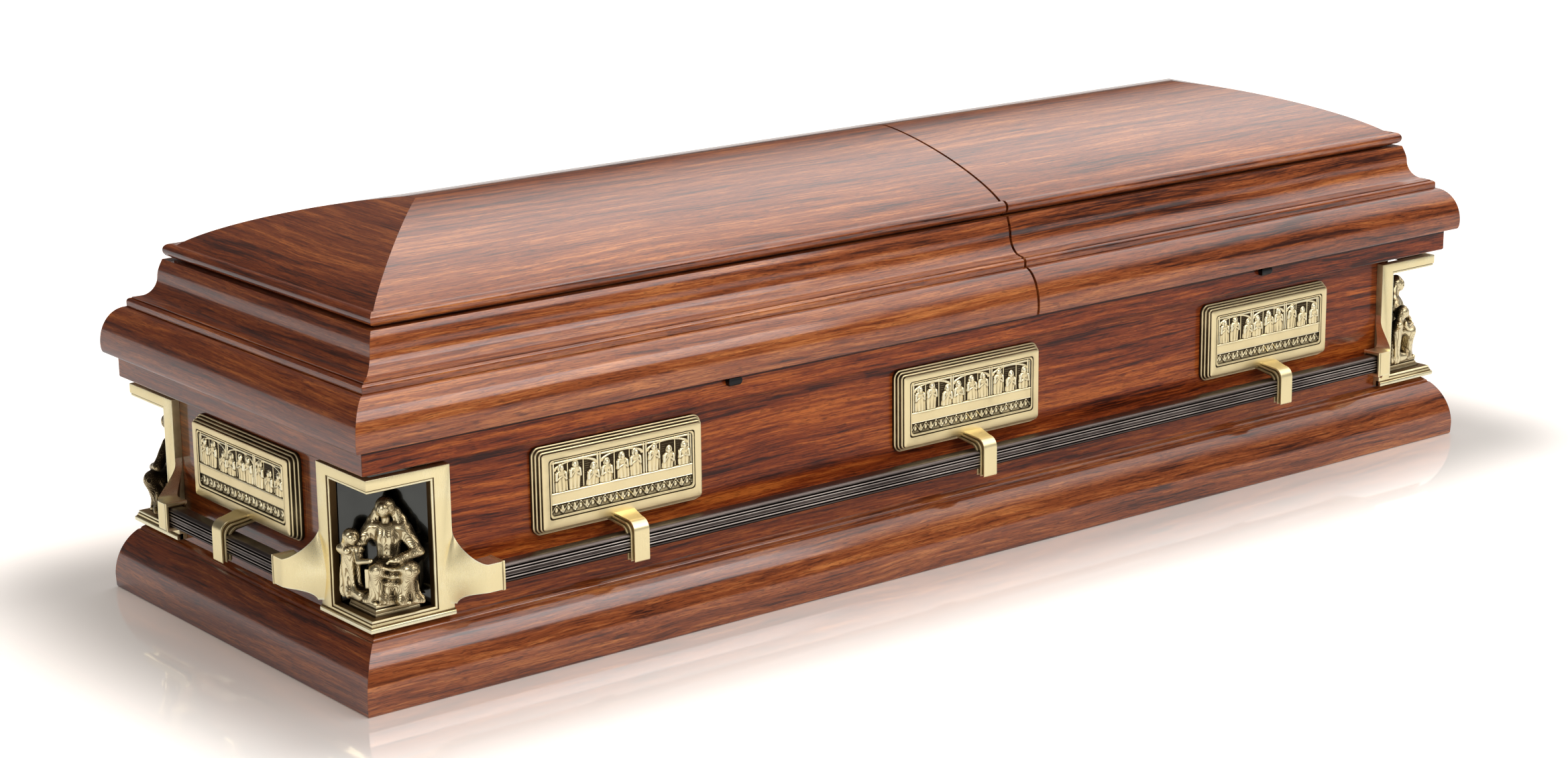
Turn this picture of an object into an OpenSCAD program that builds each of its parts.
// Full-size wooden casket: a hollow box of boards on a rounded base, a lid in two hinged
// halves with a pillow crown, corner niches with cast groups, and bars held in cast fittings.
// Millimetres, +X along the casket, -Y its front, +Z up, origin under its middle on the floor.
// Distances called "out" are measured outwards from the faces of the top rail.

/* [Body] */
// Length over the top rail
body_l = 2000; // [1500:5:2300]
// Width over the top rail
body_w = 648; // [520:2:800]
// Height of the top rail's upper edge
rail_top = 338.5; // [300:0.5:420]
// Height of the top rail itself
rail_h = 34; // [20:1:50]
// How far the side boards stand back from the rail's face
panel_set = 22; // [16:1:30]
// Thickness of the side boards
board_t = 22; // [16:1:30]
// Thickness of the floor board
floor_t = 18; // [12:1:30]
// Height of the floor board's underside
floor_up = 14; // [5:1:40]

/* [Base moulding] */
// How far the base swells out past the rail's face
base_out = 17; // [10:1:30]
// Height at which the base is fullest
base_belly = 18; // [10:1:30]
// Height of the base moulding
base_h = 98; // [80:1:110]
// How far back the base curve runs
base_run = 51; // [45:1:60]

/* [Corner niches] */
// Width of each leg of a corner bracket
leg_w = 122; // [110:1:140]
// Height of the bracket's top edge
leg_top = 296; // [280:1:300]
// Width of a bracket's upright
upright_w = 28; // [20:1:34]
// Height of a bracket's top bar
top_bar_h = 18; // [12:1:24]
// Height of a bracket's sill
sill_h = 15; // [10:1:20]
// How far the sill's foot stands out past the frame
sill_lip = 3; // [1:0.5:6]
// Thickness of a bracket's frame
frame_t = 12; // [8:1:16]
// Length of each leg of the niche cut in the corner post
niche_leg = 88; // [80:1:94]
// Thickness of the sheet at the back of a niche
sheet_t = 1.5; // [1:0.5:3]
// Height of the cast group on its plinth
figure_h = 134; // [110:1:140]
// Height of the group's plinth
plinth_h = 28; // [20:1:34]

/* [Bars and their fittings] */
// Depth of a bar
bar_t = 22; // [16:1:28]
// Height of a bar
bar_h = 27; // [20:1:34]
// How far a bar's face stands out
bar_out = 28; // [24:1:40]
// Height of a bar's middle
bar_z = 149.5; // [140:0.5:160]
// How far a socket reaches from the corner of its bracket
socket_reach = 172; // [160:1:200]
// How deep a bar goes into its socket
socket_deep = 20; // [10:1:24]
// Thickness of metal around a bar in its socket
socket_wall = 5; // [4:0.5:7]
// Length of a plaque
plaque_w = 270; // [220:2:300]
// Height of a plaque
plaque_h = 118; // [100:1:124]
// Height of a plaque's middle
plaque_z = 231; // [225:1:234]
// Thickness of a plaque
plaque_t = 17; // [12:1:20]
// Distance between the plaques of a long side
plaque_pitch = 607; // [480:1:640]
// Width of the arm under a plaque
arm_w = 28; // [20:1:40]
// Thickness of the arm in front of the bar
arm_t = 6; // [4:1:9]

/* [Lid] */
// How far the lid overhangs the rail's face
lid_out = 17; // [10:1:24]
// Height of the lid's big round
round_h = 66; // [50:1:80]
// Height of the hollow above the big round
cove_h = 67; // [50:1:90]
// How far the crown stands back from the rail's face
crown_set = 51; // [45:1:60]
// Height of the crown's bead
bead_h = 18; // [12:1:24]
// Rise of the crown above the middle of its bead
crown_rise = 84; // [50:1:120]
// Length of the crown's slope at the ends
crown_end_run = 240; // [180:5:320]
// Fullness of the crown's curve
crown_full = 1.36; // [1.2:0.02:1.8]
// Thickness of the crown's panels
crown_t = 12; // [8:1:18]
// Where the two halves of the lid meet, from the middle
seam_x = 105.5; // [-300:0.5:300]
// Gap between the two halves
seam_gap = 4.5; // [2:0.5:5]
// Thickness of the board that closes each half at the seam
header_t = 16; // [10:1:25]

/* [Hinges and catches] */
// Radius of a hinge's knuckles
knuckle_r = 3.5; // [3:0.1:5]
// Radius of a hinge's pin
pin_r = 1.5; // [1.2:0.1:2]
// Number of knuckles of a hinge
knuckles = 9; // [5:2:15]
// Distance from a hinge's end to the end of its half
hinge_inset = 60; // [40:5:150]
// Length of a catch's slot
slot_l = 51; // [45:1:70]
// Height of a catch's slot
slot_h = 4; // [3:0.5:6]
// Width of a catch's knob
knob_w = 22; // [16:1:26]
// Height of a catch's knob
knob_h = 13; // [10:0.5:16]
// Where the catches are, from the seam to the middle of each slot
catch_at = [-557, 458]; // [-800:5:800]

/* [Hidden] */

// Clearances
seat_gap = 0.3;         // between a piece and what it lies on
mitre_gap = 0.2;        // between two mitred ends
socket_gap = 0.3;       // around a bar in a fitting
header_gap = 0.8;       // under the crown, over a half's closing board
pin_gap = 0.05;         // around a hinge pin, on the radius
knuckle_gap = 0.5;      // between two knuckles
slide_gap = 0.3;        // around a catch's tongue
eps = 0.01;

// Half sizes and heights that several pieces share
half_l = body_l / 2;
half_w = body_w / 2;
rail_low = rail_top - rail_h;
board_in = panel_set + board_t;
mitre_reach = 60;       // past every moulding, for the mitre cuts
mitre_depth = 260;      // inwards, for the mitre cuts
tall = 700;             // taller than the whole casket
lid_low = rail_top + seat_gap;
belly_low = 13;         // height of the lower half of the lid's big round
round_top = lid_low + round_h;
bead_step = 2.5;        // set-back of the small bead above the big round
small_bead_h = 11;
cove_low = round_top + small_bead_h;
cove_top = cove_low + cove_h - small_bead_h;
crown_low = cove_top + 1.5;
bead_mid = crown_low + bead_h / 2 + 2;
crown_run = half_w - crown_set;
curve_steps = 14;
bracket_back = panel_set - seat_gap;
bracket_out = bracket_back - frame_t;
corner_x = half_l - bracket_out;
corner_y = half_w - bracket_out;
niche_low = base_h;
niche_top = rail_low;
arm_out = bar_out + arm_t;
arm_low = bar_z - bar_h / 2 - 12;
hinge_out = knuckle_r + 0.7;
hinge_z = rail_top - knuckle_r - 1.3;
leaf_t = 1.5;
fixed_leaf_h = 24;
wood = [0.45, 0.2, 0.11];
dark_wood = [0.36, 0.15, 0.08];
brass = [0.86, 0.76, 0.5];
bronze = [0.5, 0.4, 0.24];
gunmetal = [0.23, 0.21, 0.2];

// Profiles are lists of [out, height]; these place one along a side of the casket.
function on_y(profile, s) = [for (p = profile) [s * (half_w + p[0]), p[1]]];
function on_x(profile, s) = [for (p = profile) [s * (half_l + p[0]), p[1]]];
// Points of a quarter curve x = a (1 - t^n)^(1/n), from its widest point up to its top
function swell(cx, cz, a, b, n, t1 = 1) = [
    for (i = [0 : curve_steps]) let (t = t1 * sin(90 * i / curve_steps))
        [cx + a * pow(max(0, 1 - pow(t, n)), 1 / n), cz + b * t]
];
// Rise of the crown at a share t of its slope
function crown_curve(t) = pow(max(0, 1 - pow(1 - min(1, max(0, t)), crown_full)), 1 / crown_full);
function crown_share(i) = 1 - cos(90 * i / curve_steps);
// Half of the crown's section: [distance in from the bead, height], from the bead to the top
function crown_half(run, rise) = [
    for (i = [0 : curve_steps]) [run * crown_share(i), rise * crown_curve(crown_share(i))]
];
// The whole section across a crown of half width half, with slopes of length run
function crown_section(half, run, rise, z0, low) = concat(
    [[-half, low]],
    [for (p = crown_half(run, rise)) [-half + p[0], z0 + p[1]]],
    [for (i = [curve_steps : -1 : 0]) let (p = crown_half(run, rise)[i]) [half - p[0], z0 + p[1]]],
    [[half, low]]
);

module along_x(x0, x1, points) {
    translate([x0, 0, 0]) rotate([90, 0, 90]) linear_extrude(x1 - x0) polygon(points);
}

module along_y(y0, y1, points) {
    translate([0, y1, 0]) rotate([90, 0, 0]) linear_extrude(y1 - y0) polygon(points);
}

// The room that a mitred length may fill on a long side (s = -1 front, 1 back)
module mitre_y(s) {
    g = mitre_gap / 2;
    linear_extrude(tall) polygon([
        [-half_l - mitre_reach + g, s * (half_w + mitre_reach)],
        [half_l + mitre_reach - g, s * (half_w + mitre_reach)],
        [half_l - mitre_depth - g, s * (half_w - mitre_depth)],
        [-half_l + mitre_depth + g, s * (half_w - mitre_depth)]
    ]);
}

// The same on an end (s = -1 left, 1 right)
module mitre_x(s) {
    g = mitre_gap / 2;
    linear_extrude(tall) polygon([
        [s * (half_l + mitre_reach), -half_w - mitre_reach + g],
        [s * (half_l + mitre_reach), half_w + mitre_reach - g],
        [s * (half_l - mitre_depth), half_w - mitre_depth - g],
        [s * (half_l - mitre_depth), -half_w + mitre_depth + g]
    ]);
}

// A profile carried along a long side or an end and mitred at both corners
module long_moulding(profile, s) {
    intersection() {
        along_x(-half_l - mitre_reach, half_l + mitre_reach, on_y(profile, s));
        mitre_y(s);
    }
}

module end_moulding(profile, s) {
    intersection() {
        along_y(-half_w - mitre_reach, half_w + mitre_reach, on_x(profile, s));
        mitre_x(s);
    }
}

// --- Body -------------------------------------------------------------------

base_foot = 3;          // rounding under the base
base_curve = [
    for (p = swell(base_out - base_run, base_belly, base_run, base_h - base_belly, 1.85))
        if (p[0] > -panel_set + seat_gap) p
];
base_profile = concat(
    [[-panel_set + seat_gap, 0], [base_out - base_foot, 0], [base_out - 0.8, base_foot]],
    base_curve,
    [[-panel_set + seat_gap, base_curve[len(base_curve) - 1][1]
        + (base_curve[len(base_curve) - 1][0] + panel_set - seat_gap) * 0.5]]
);

module base_moulding_front() { color(wood) long_moulding(base_profile, -1); }
module base_moulding_back() { color(wood) long_moulding(base_profile, 1); }
module base_moulding_left() { color(wood) end_moulding(base_profile, -1); }
module base_moulding_right() { color(wood) end_moulding(base_profile, 1); }

module floor_board() {
    fit = board_in + seat_gap;
    post = niche_leg + panel_set;
    color(dark_wood) translate([0, 0, floor_up]) linear_extrude(floor_t) difference() {
        square([body_l - 2 * fit, body_w - 2 * fit], center = true);
        for (sx = [-1, 1], sy = [-1, 1]) {
            translate([sx * (half_l - fit), sy * (half_w - fit)]) rotate(45)
                square((post - fit) * sqrt(2) + 2 * seat_gap, center = true);
        }
    }
}

module long_board(s) {
    end = half_l - panel_set - niche_leg - seat_gap;
    y = s * (half_w - panel_set - board_t / 2);
    translate([-end, y - board_t / 2, 0]) cube([2 * end, board_t, rail_top]);
}

module end_board(s) {
    end = half_w - panel_set - niche_leg - seat_gap;
    x = s * (half_l - panel_set - board_t / 2);
    translate([x - board_t / 2, -end, 0]) cube([board_t, 2 * end, rail_top]);
}

module side_board_front() { color(wood) long_board(-1); }
module side_board_back() { color(wood) long_board(1); }
module end_board_left() { color(wood) end_board(-1); }
module end_board_right() { color(wood) end_board(1); }

// A post fills the corner behind the rail and the base, and is cut off at 45 degrees between
module corner_post(sx, sy) {
    x0 = half_l - panel_set;
    y0 = half_w - panel_set;
    n = niche_leg;
    color(wood) difference() {
        linear_extrude(rail_top) polygon([
            [sx * (x0 - n), sy * y0], [sx * x0, sy * y0], [sx * x0, sy * (y0 - n)],
            [sx * (x0 - board_t), sy * (y0 - n)], [sx * (x0 - n), sy * (y0 - board_t)]
        ]);
        translate([0, 0, niche_low]) linear_extrude(niche_top - niche_low) polygon([
            [sx * (x0 - n), sy * (y0 + 1)], [sx * (x0 + 1), sy * (y0 + 1)],
            [sx * (x0 + 1), sy * (y0 - n)], [sx * x0, sy * (y0 - n)], [sx * (x0 - n), sy * y0]
        ]);
    }
}

module corner_post_front_left() { corner_post(-1, -1); }
module corner_post_front_right() { corner_post(1, -1); }
module corner_post_back_left() { corner_post(-1, 1); }
module corner_post_back_right() { corner_post(1, 1); }

rail_profile = [
    [-panel_set + seat_gap, rail_low], [-1.5, rail_low], [0, rail_low + 1.5],
    [0, rail_top], [-panel_set + seat_gap, rail_top]
];

// The front rail has a slot in its top edge for each catch's tongue
module top_rail_front() {
    color(wood) difference() {
        long_moulding(rail_profile, -1);
        for (x = catch_at) {
            translate([seam_x + x - slot_l / 2, -half_w - 1, rail_top - slot_h])
                cube([slot_l, tongue_l + slide_gap + 1, slot_h + 1]);
        }
    }
}
module top_rail_back() { color(wood) long_moulding(rail_profile, 1); }
module top_rail_left() { color(wood) end_moulding(rail_profile, -1); }
module top_rail_right() { color(wood) end_moulding(rail_profile, 1); }

// --- Lid --------------------------------------------------------------------

// Outer outline of the lid's moulding: lip, big round, small bead, hollow
cove_in = crown_set - 0.5;
round_back = 31;
cove_foot = bead_step + 14;
cove_bend = [
    for (i = [0 : curve_steps]) let (t = 90 * i / curve_steps)
        [-cove_foot - 5 - (cove_in - cove_foot - 11) * sin(t),
         cove_low + 3 + (cove_h - small_bead_h - 10) * (1 - cos(t)) * 0.55]
];
lid_outline = concat(
    [[lid_out - 3, lid_low], [lid_out - 0.6, lid_low + 3], [lid_out, lid_low + belly_low]],
    swell(lid_out - round_back, lid_low + belly_low, round_back, round_h - belly_low, 2, 0.985),
    [[-bead_step - 9.5, round_top], [-bead_step - 9.5, round_top + small_bead_h - 3],
     [-bead_step - 11, round_top + small_bead_h], [-cove_foot - 1, cove_low + 2]],
    cove_bend,
    [[-cove_in, cove_top]]
);
lid_inner = [
    [-cove_in - 19, cove_top], [-cove_in - 17, cove_low + 10], [-cove_foot - 26, cove_low - 8],
    [-30, lid_low + belly_low + 20], [-30, lid_low]
];
lid_profile = concat(lid_outline, lid_inner);

// The part of the lid's room that belongs to one half (s = -1 left, 1 right)
module half_room(s) {
    x = seam_x + s * seam_gap / 2;
    translate([s > 0 ? x : x - 2 * body_l, -body_w, 0]) cube([2 * body_l, 2 * body_w, tall]);
}

module lid_long_moulding(half, s) {
    color(wood) intersection() {
        long_moulding(lid_profile, s);
        half_room(half);
    }
}
module lid_left_moulding_front() { lid_long_moulding(-1, -1); }
module lid_left_moulding_back() { lid_long_moulding(-1, 1); }
module lid_left_moulding_end() { color(wood) end_moulding(lid_profile, -1); }
module lid_right_moulding_front() { lid_long_moulding(1, -1); }
module lid_right_moulding_back() { lid_long_moulding(1, 1); }
module lid_right_moulding_end() { color(wood) end_moulding(lid_profile, 1); }

// Corner of the crown in plan, and how far the hips run in from it
hip_x = half_l - crown_set;
hip_y = half_w - crown_set;
hip_over = 40;          // how far the cut lines run on past the corner
hip_slope = crown_run / crown_end_run;

// Plan of the wedge between the hips of one end (s = -1 left, 1 right)
module end_plan(s) {
    polygon([
        [s * (hip_x - crown_end_run + mitre_gap), 0],
        [s * (hip_x + hip_over), hip_y + hip_over * hip_slope - mitre_gap],
        [s * (hip_x + hip_over), -hip_y - hip_over * hip_slope + mitre_gap]
    ]);
}

// Plan of what lies between a wedge and the seam
module long_plan(s) {
    x = seam_x + s * seam_gap / 2;
    polygon([
        [x, -hip_y - hip_over], [x, hip_y + hip_over],
        [s * (hip_x + hip_over / hip_slope), hip_y + hip_over],
        [s * (hip_x - crown_end_run), 0],
        [s * (hip_x + hip_over / hip_slope), -hip_y - hip_over]
    ]);
}

// The crown's section over half a width, solid down to its foot; inset thins it evenly
function crown_solid(half, run, inset, drop, low) =
    crown_section(half - inset, run - inset, crown_rise, bead_mid - drop, low);

foot_in = bead_h / 2 + 3;   // the crown's foot stands back under its bead
inner_in = foot_in + crown_t;

// A long panel: the section carried along, with a bead at the front and the back
module crown_panel(half) {
    across = hip_y - bead_h / 2;
    color(wood) intersection() {
        difference() {
            union() {
                along_x(-half_l, half_l, crown_solid(hip_y, crown_run, bead_h / 2, 0, bead_mid - 1));
                translate([-half_l, -hip_y + foot_in, crown_low])
                    cube([body_l, 2 * (hip_y - foot_in), bead_mid - crown_low]);
                for (s = [-1, 1]) {
                    translate([-half_l, s * across, bead_mid]) rotate([0, 90, 0])
                        cylinder(r = bead_h / 2, h = body_l, $fn = 40);
                }
            }
            along_x(-half_l - 1, half_l + 1, crown_solid(hip_y, crown_run, inner_in, crown_t, crown_low - 1));
        }
        translate([0, 0, crown_low - 2]) linear_extrude(tall) long_plan(half);
    }
}

// An end panel: the end's own section carried across, with its bead
module crown_end(half) {
    along = hip_x - bead_h / 2;
    color(wood) intersection() {
        difference() {
            union() {
                along_y(-half_w, half_w, crown_solid(hip_x, crown_end_run, bead_h / 2, 0, bead_mid - 1));
                translate([-hip_x + foot_in, -half_w, crown_low])
                    cube([2 * (hip_x - foot_in), body_w, bead_mid - crown_low]);
                translate([half * along, -half_w, bead_mid]) rotate([-90, 0, 0])
                    cylinder(r = bead_h / 2, h = body_w, $fn = 40);
            }
            along_y(-half_w - 1, half_w + 1, crown_solid(hip_x, crown_end_run, inner_in, crown_t, crown_low - 1));
        }
        translate([0, 0, crown_low - 2]) linear_extrude(tall) end_plan(half);
    }
}
module lid_left_crown() { crown_panel(-1); }
module lid_left_crown_end() { crown_end(-1); }
module lid_right_crown() { crown_panel(1); }
module lid_right_crown_end() { crown_end(1); }

// The board that closes a half of the lid where the halves meet
module header(half) {
    x0 = seam_x + half * seam_gap / 2;
    x1 = x0 + half * header_t;
    low_half = half_w - cove_in - 19 - seat_gap;
    foot = inner_in + header_gap;
    color(dark_wood) union() {
        translate([min(x0, x1), -low_half, lid_low + 6]) cube([header_t, 2 * low_half, crown_low - lid_low - 6 - seat_gap]);
        along_x(min(x0, x1), max(x0, x1),
            crown_solid(hip_y, crown_run, foot, crown_t + header_gap, crown_low - 1));
    }
}
module lid_left_header() { header(-1); }
module lid_right_header() { header(1); }

// --- Corner niches ------------------------------------------------------------

// Moves a thing made for the front left corner to another corner
module to_corner(sx, sy) {
    mirror([sx > 0 ? 1 : 0, 0, 0]) mirror([0, sy > 0 ? 1 : 0, 0]) children();
}

module niche_sheet(sx, sy) {
    mid_x = -half_l + panel_set + niche_leg / 2;
    mid_y = -half_w + panel_set + niche_leg / 2;
    sheet_w = niche_leg * sqrt(2) - 2 * sheet_t - 2;
    color(gunmetal) to_corner(sx, sy) translate([mid_x, mid_y, niche_low + seat_gap]) rotate(-45)
        translate([-sheet_w / 2, -sheet_t - seat_gap, 0])
            cube([sheet_w, sheet_t, niche_top - niche_low - 2 * seat_gap]);
}
module niche_sheet_front_left() { niche_sheet(-1, -1); }
module niche_sheet_front_right() { niche_sheet(1, -1); }
module niche_sheet_back_left() { niche_sheet(-1, 1); }
module niche_sheet_back_right() { niche_sheet(1, 1); }

// One leg of a bracket, flat on the XZ plane: u runs from the corner, out is -Y
wing_top = bar_z + bar_h / 2 + socket_wall;
wing_low = bar_z - bar_h / 2 - socket_wall;
wing_run = 27;
wing_rise = 46;
wing_front = bracket_out + bar_out + socket_wall;
wing_steps = 10;
function ease(t) = (1 - cos(180 * t)) / 2;

module bracket_leg() {
    low = niche_low + seat_gap;
    inner = leg_w - upright_w;
    difference() {
        union() {
            translate([0, 0, low]) cube([leg_w, frame_t, leg_top - low]);
            translate([-sill_lip, -sill_lip, low]) cube([leg_w + sill_lip, frame_t + sill_lip, sill_h * 0.55]);
            wing();
        }
        translate([-1, -1, low + sill_h]) cube([inner + 1, frame_t + 2, leg_top - top_bar_h - low - sill_h]);
        socket();
    }
}

// The flared arm of a leg: its outline from the front and its outline from above, in one
module wing() {
    side = leg_w;
    tip = socket_reach;
    root = leg_w - upright_w + 4;
    flare = leg_w - 16;
    upper = [for (i = [0 : wing_steps]) let (t = 90 * i / wing_steps)
        [side + wing_run * (1 - cos(t)), wing_top + wing_rise * (1 - sin(t))]];
    lower = [for (i = [0 : wing_steps]) let (t = 90 * i / wing_steps)
        [side + wing_run * (1 - cos(t)), wing_low - (wing_low - niche_low - sill_h) * (1 - sin(t))]];
    outer = [for (i = [0 : wing_steps]) let (t = i / wing_steps)
        [flare + (tip - socket_deep - 4 - flare) * t, -wing_front * ease(t)]];
    back = bar_t + 2 * socket_wall;
    intersection() {
        rotate([90, 0, 0]) translate([0, 0, -frame_t - 1]) linear_extrude(wing_front + frame_t + 2)
            polygon(concat([[root, wing_top + wing_rise]], upper, [[tip, wing_top], [tip, wing_low]],
                [for (i = [wing_steps : -1 : 0]) lower[i]], [[root, niche_low + sill_h]]));
        linear_extrude(tall) polygon(concat(
            [[root, 0]], outer, [[tip, -wing_front], [tip, -wing_front + back], [tip - socket_deep - 6, -wing_front + back],
            [side + 4, frame_t], [root, frame_t]]));
    }
}

// The pocket that a bar's end goes into
module socket() {
    deep = socket_deep;
    y = -(wing_front - socket_wall) - socket_gap;
    translate([socket_reach - deep, y, bar_z - bar_h / 2 - socket_gap])
        cube([deep + 1, bar_t + 2 * socket_gap, bar_h + 2 * socket_gap]);
}

module bracket(sx, sy) {
    color(brass) to_corner(sx, sy) translate([-corner_x, -corner_y, 0]) {
        bracket_leg();
        mirror([1, -1, 0]) bracket_leg();
    }
}
module bracket_front_left() { bracket(-1, -1); }
module bracket_front_right() { bracket(1, -1); }
module bracket_back_left() { bracket(-1, 1); }
module bracket_back_right() { bracket(1, 1); }

// --- Cast groups: a seated veiled mourner and a smaller one kneeling at the knee ----

group_out = 9;          // how far a group's middle stands out from its sheet
plinth_front = niche_leg / sqrt(2) - group_out - 3.5;

// A plinth with a pointed front, its sides along the bracket's legs
module plinth_tier(inset, h) {
    leg = plinth_front - inset;
    linear_extrude(h) polygon([
        [0, -leg], [leg - 4, -4], [leg - 4, 6], [-leg + 4, 6], [-leg + 4, -4]
    ]);
}

// Group measures are in hundredths of the group's height
unit = figure_h / 97;
module ball(p, r) { translate([p[0] * unit, p[1] * unit, p[2] * unit]) sphere(r * unit, $fn = 12); }
module limb(p, q, r0, r1) { hull() { ball(p, r0); ball(q, r1); } }

// Standing at the origin and facing -Y
module seated_mourner() {
    hull() { ball([-4, 0, 34], 11); ball([8, 0, 34], 11); ball([-2, 0, 62], 10); ball([8, 0, 62], 10);
        ball([-8, 1, 71], 6); ball([14, 1, 71], 6); }
    hull() { ball([-8, -2, 30], 9); ball([4, -18, 31], 7.5); ball([22, -15, 33], 7.5); ball([14, 0, 30], 9); }
    hull() { ball([3, -19, 29], 7); ball([22, -15, 31], 7); ball([2, -22, 5], 5); ball([26, -17, 5], 5);
        ball([-12, 2, 5], 5); ball([20, 5, 5], 5); }
    limb([14, 0, 69], [25, -9, 45], 5.5, 4.5);
    limb([25, -9, 45], [13, -17, 38], 4.5, 4);
    hull() { ball([2, -3, 88], 8.5); ball([3, 2, 88], 8.5); ball([3, 3, 76], 7.5); }
}

module kneeling_mourner() {
    hull() { ball([-26, 0, 10], 8); ball([-25, 0, 40], 8); ball([-20, -8, 10], 7); ball([-18, -4, 50], 7); }
    hull() { ball([-19, -8, 62], 6.5); ball([-22, -4, 61], 6.5); ball([-21, -3, 50], 5); }
}

module figures(sx, sy) {
    turn = sx * sy > 0 ? (sx < 0 ? -45 : 135) : (sx > 0 ? 45 : -135);
    x = -sx * (niche_leg / 2) + sx * (half_l - panel_set);
    y = -sy * (niche_leg / 2) + sy * (half_w - panel_set);
    color(bronze) translate([x, y, niche_low + seat_gap]) rotate(turn) translate([0, -group_out, 0]) {
        plinth_tier(2, plinth_h * 0.45);
        plinth_tier(0, plinth_h * 0.25);
        translate([0, 0, plinth_h * 0.45 - eps]) plinth_tier(5, plinth_h * 0.35);
        translate([0, 0, plinth_h * 0.8 - eps]) plinth_tier(12, plinth_h * 0.2);
        translate([4, -12, plinth_h - 1]) {
            seated_mourner();
            kneeling_mourner();
        }
    }
}
module figures_front_left() { figures(-1, -1); }
module figures_front_right() { figures(1, -1); }
module figures_back_left() { figures(-1, 1); }
module figures_back_right() { figures(1, 1); }

// --- Plaques with their arms ---------------------------------------------------

module rounded_plate(w, h, r, t) {
    linear_extrude(t) union() {
        square([w - 2 * r, h], center = true);
        square([w, h - 2 * r], center = true);
        for (sx = [-1, 1], sy = [-1, 1]) {
            translate([sx * (w / 2 - r), sy * (h / 2 - r)]) circle(r, $fn = 32);
        }
    }
}

plaque_steps = 3;
plaque_step_in = 3;
plaque_round = 12;
picture_w = 225;
picture_h = 73;
picture_up = 3;
picture_deep = 3.5;

// The plate, flat on the XY plane with its face up
module plaque_plate() {
    step_t = plaque_t / (plaque_steps + 1);
    difference() {
        for (i = [0 : plaque_steps]) {
            inset = i * plaque_step_in;
            rounded_plate(plaque_w - 2 * inset, plaque_h - 2 * inset, plaque_round - inset, step_t * (i + 1));
        }
        translate([0, picture_up, plaque_t - picture_deep])
            rounded_plate(picture_w, picture_h, 6, picture_deep + 1);
    }
    // The picture's two plain bands
    translate([-picture_w / 2 + 2, -picture_h / 2 + picture_up + 14, plaque_t - picture_deep - eps])
        cube([picture_w - 4, 15, picture_deep - 0.8]);
    translate([-picture_w / 2 + 6, -picture_h / 2 + picture_up + 1, plaque_t - picture_deep - eps])
        cube([picture_w - 12, 11, picture_deep - 2.3]);
}

// The arm's side outline: [out, height], a strip that leaves the plaque, bends and goes down
arm_bend = 15;
arm_root_z = plaque_z - plaque_h / 2 + 15;
arm_slope = 7;
function arm_outline(front, t, low) = concat(
    [[-panel_set + seat_gap + 3, arm_root_z], [front - arm_bend, arm_root_z - arm_slope]],
    [for (i = [0 : 8]) let (a = 90 * i / 8)
        [front - arm_bend * (1 - sin(a)), arm_root_z - arm_slope - arm_bend * (1 - cos(a))]],
    [[front, low], [front - t, low]],
    [for (i = [8 : -1 : 0]) let (a = 90 * i / 8)
        [front - t - arm_bend * (1 - sin(a)), arm_root_z - arm_slope - t - arm_bend * (1 - cos(a))]],
    [[-panel_set + seat_gap + 3, arm_root_z - t]]
);

// Plaque and arm against a face whose outward direction is -Y, middle at x = 0
module plaque() {
    face = -(half_w - panel_set + seat_gap);
    hole_low = bar_z - bar_h / 2 - socket_gap;
    color(brass) difference() {
        union() {
            translate([0, face, plaque_z]) rotate([90, 0, 0]) plaque_plate();
            along_x(-arm_w / 2, arm_w / 2, on_y(arm_outline(arm_out, arm_t, arm_low), -1));
            along_x(-arm_w / 2 + 2.5, arm_w / 2 - 2.5,
                on_y(arm_outline(arm_out - arm_t + eps, 4, arm_low + 2), -1));
            along_x(-arm_w / 2 + 0.5, arm_w / 2 - 0.5,
                on_y(arm_outline(arm_out - arm_t - 4 + 2 * eps, 3, arm_low + 4), -1));
        }
        translate([-arm_w, -half_w - bar_out - socket_gap, hole_low])
            cube([2 * arm_w, bar_t + 2 * socket_gap, bar_h + 2 * socket_gap]);
    }
}

module plaque_on_long(x, s) { mirror([0, s > 0 ? 1 : 0, 0]) translate([x, 0, 0]) plaque(); }
module plaque_on_end(s) {
    mirror([s > 0 ? 1 : 0, 0, 0]) rotate(-90) translate([0, half_w - half_l, 0]) plaque();
}
module plaque_front_left() { plaque_on_long(-plaque_pitch, -1); }
module plaque_front_middle() { plaque_on_long(0, -1); }
module plaque_front_right() { plaque_on_long(plaque_pitch, -1); }
module plaque_back_left() { plaque_on_long(-plaque_pitch, 1); }
module plaque_back_middle() { plaque_on_long(0, 1); }
module plaque_back_right() { plaque_on_long(plaque_pitch, 1); }
module plaque_left() { plaque_on_end(-1); }
module plaque_right() { plaque_on_end(1); }

// --- Bars ------------------------------------------------------------------------

// A bar's section: rounded, with fine ridges along its face; x runs outwards
module bar_section() {
    r = 5;
    difference() {
        union() {
            square([bar_t - 2 * r, bar_h], center = true);
            square([bar_t, bar_h - 2 * r], center = true);
            for (sx = [-1, 1], sy = [-1, 1]) {
                translate([sx * (bar_t / 2 - r), sy * (bar_h / 2 - r)]) circle(r, $fn = 24);
            }
        }
        for (z = [-7.5, -4.5, 3.5, 6.5]) translate([bar_t / 2 - 0.9, z - 0.6]) square([2, 1.2]);
    }
}

// Half the length of a bar, from the middle of its side into the two sockets
function bar_half(half) = half - bracket_out - socket_reach + socket_deep - 2;

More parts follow.
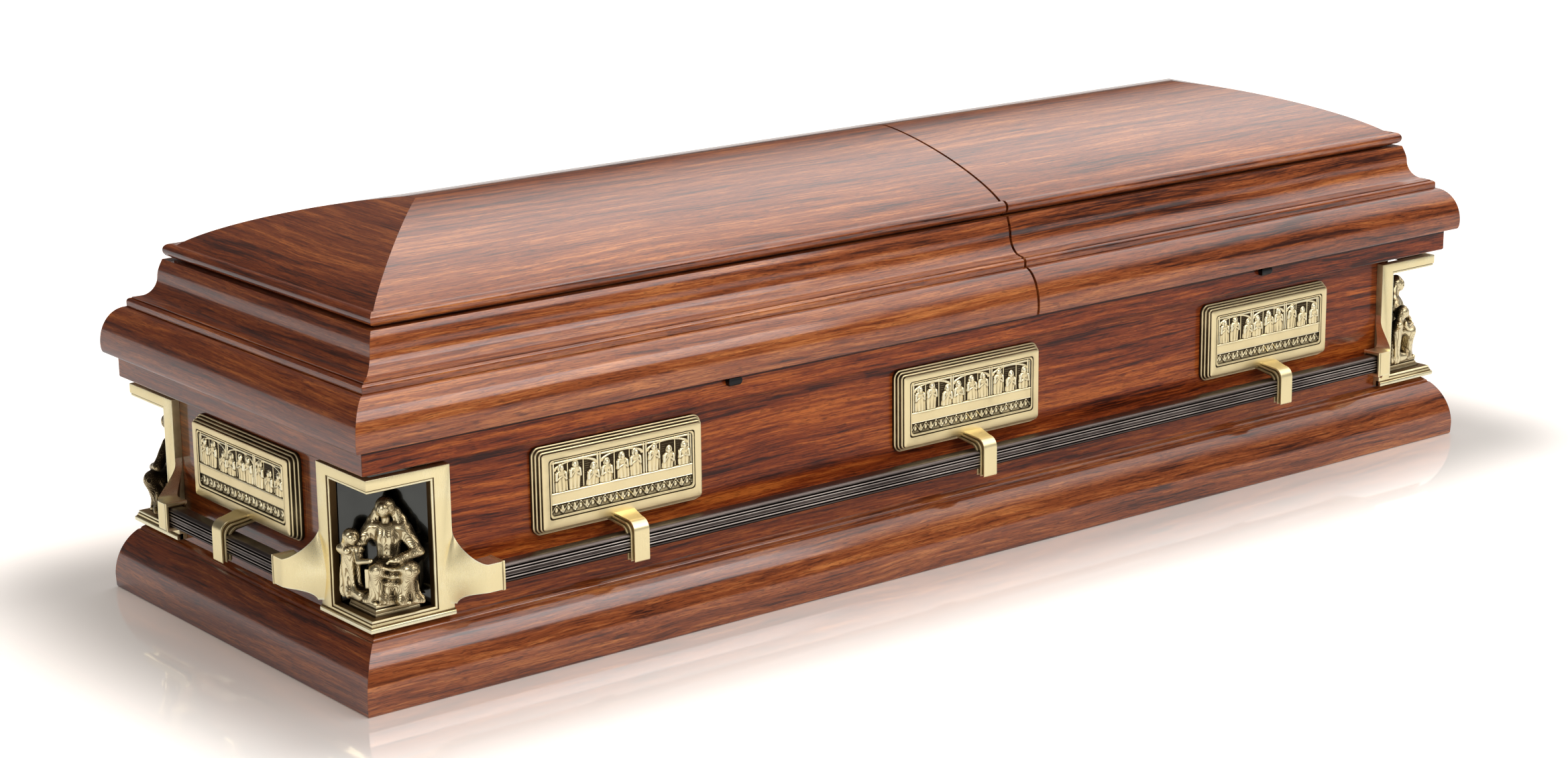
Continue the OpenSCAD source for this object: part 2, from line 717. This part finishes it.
module bar_front() {
    h = bar_half(half_l);
    color(gunmetal) translate([-h, -half_w - bar_out + bar_t / 2, bar_z]) rotate([90, 0, 90])
        linear_extrude(2 * h) mirror([1, 0]) bar_section();
}
module bar_back() { mirror([0, 1, 0]) bar_front(); }
module bar_left() {
    h = bar_half(half_w);
    color(gunmetal) translate([-half_l - bar_out + bar_t / 2, h, bar_z]) rotate([90, 0, 0])
        linear_extrude(2 * h) mirror([1, 0]) bar_section();
}
module bar_right() { mirror([1, 0, 0]) bar_left(); }

// --- Catches and hinges ---------------------------------------------------------

tongue_l = 14;
tongue_w = 10;

// A knob on a tongue that slides in the rail's slot; the tongue is at the slot's right end
module catch(at) {
    top = rail_top - slide_gap;
    mid = seam_x + at + slot_l / 2 - slide_gap - tongue_w / 2;
    color(gunmetal) union() {
        translate([mid - tongue_w / 2, -half_w - 3, rail_top - slot_h + slide_gap])
            cube([tongue_w, tongue_l + 3, slot_h - 2 * slide_gap]);
        intersection() {
            translate([mid - knob_w / 2, -half_w - 9, top - knob_h]) cube([knob_w, 9 - seat_gap, knob_h]);
            translate([mid, -half_w + 1, top - knob_h / 2]) rotate([90, 0, 0])
                cylinder(r = knob_w / 2, h = 12, $fn = 48);
            translate([mid - knob_w, -half_w, top - knob_h / 2]) rotate([0, 90, 0])
                cylinder(r = 9, h = 2 * knob_w, $fn = 40);
        }
    }
}
module catch_left() { catch(catch_at[0]); }
module catch_right() { catch(catch_at[1]); }

// Both ends of the hinge of a half (half = -1 left, 1 right)
function hinge_ends(half) = half < 0
    ? [-half_l + hinge_inset, seam_x - hinge_inset]
    : [seam_x + hinge_inset, half_l - hinge_inset];

// Every second knuckle, starting with the one numbered first
module knuckle_row(half, first, bore) {
    ends = hinge_ends(half);
    pitch = (ends[1] - ends[0]) / knuckles;
    for (i = [first : 2 : knuckles - 1]) {
        translate([ends[0] + i * pitch + knuckle_gap / 2, half_w + hinge_out, hinge_z]) rotate([0, 90, 0])
            difference() {
                cylinder(r = knuckle_r, h = pitch - knuckle_gap, $fn = 32);
                if (bore) translate([0, 0, -1]) cylinder(r = pin_r + pin_gap, h = pitch + 1, $fn = 32);
            }
    }
}

// Slots in a leaf for the other leaf's knuckles
module knuckle_slots(half, first) {
    ends = hinge_ends(half);
    pitch = (ends[1] - ends[0]) / knuckles;
    r = knuckle_r + knuckle_gap;
    for (i = [first : 2 : knuckles - 1]) {
        translate([ends[0] + i * pitch - knuckle_gap / 2, half_w + hinge_out, hinge_z]) rotate([0, 90, 0])
            cylinder(r = r, h = pitch + knuckle_gap, $fn = 32);
    }
}

module fixed_leaf(half) {
    ends = hinge_ends(half);
    color(brass) union() {
        difference() {
            translate([ends[0], half_w + seat_gap, hinge_z - fixed_leaf_h])
                cube([ends[1] - ends[0], leaf_t, fixed_leaf_h]);
            knuckle_slots(half, 1);
        }
        knuckle_row(half, 0, false);
        translate([ends[0] + 1, half_w + hinge_out, hinge_z]) rotate([0, 90, 0])
            cylinder(r = pin_r, h = ends[1] - ends[0] - 2, $fn = 32);
    }
}

module lid_leaf(half) {
    ends = hinge_ends(half);
    top = lid_low - seat_gap;
    color(brass) union() {
        difference() {
            translate([ends[0], half_w + hinge_out - 3, top - leaf_t])
                cube([ends[1] - ends[0], lid_out - hinge_out, leaf_t]);
            knuckle_slots(half, 0);
        }
        difference() {
            translate([0, 0, 0]) knuckle_row(half, 1, true);
            translate([-body_l, half_w - 5, top]) cube([2 * body_l, 30, 5]);
        }
    }
}
module hinge_left_fixed_leaf() { fixed_leaf(-1); }
module hinge_left_lid_leaf() { lid_leaf(-1); }
module hinge_right_fixed_leaf() { fixed_leaf(1); }
module hinge_right_lid_leaf() { lid_leaf(1); }

base_moulding_front();
base_moulding_back();
base_moulding_left();
base_moulding_right();
floor_board();
side_board_front();
side_board_back();
end_board_left();
end_board_right();
top_rail_front();
top_rail_back();
top_rail_left();
top_rail_right();
corner_post_front_left();
corner_post_front_right();
corner_post_back_left();
corner_post_back_right();
lid_left_moulding_front();
lid_left_moulding_back();
lid_left_moulding_end();
lid_right_moulding_front();
lid_right_moulding_back();
lid_right_moulding_end();
lid_left_crown();
lid_left_crown_end();
lid_right_crown();
lid_right_crown_end();
lid_left_header();
lid_right_header();
niche_sheet_front_left();
niche_sheet_front_right();
niche_sheet_back_left();
niche_sheet_back_right();
bracket_front_left();
bracket_front_right();
bracket_back_left();
bracket_back_right();
figures_front_left();
figures_front_right();
figures_back_left();
figures_back_right();
plaque_front_left();
plaque_front_middle();
plaque_front_right();
plaque_back_left();
plaque_back_middle();
plaque_back_right();
plaque_left();
plaque_right();
bar_front();
bar_back();
bar_left();
bar_right();
catch_left();
catch_right();
hinge_left_fixed_leaf();
hinge_left_lid_leaf();
hinge_right_fixed_leaf();
hinge_right_lid_leaf();
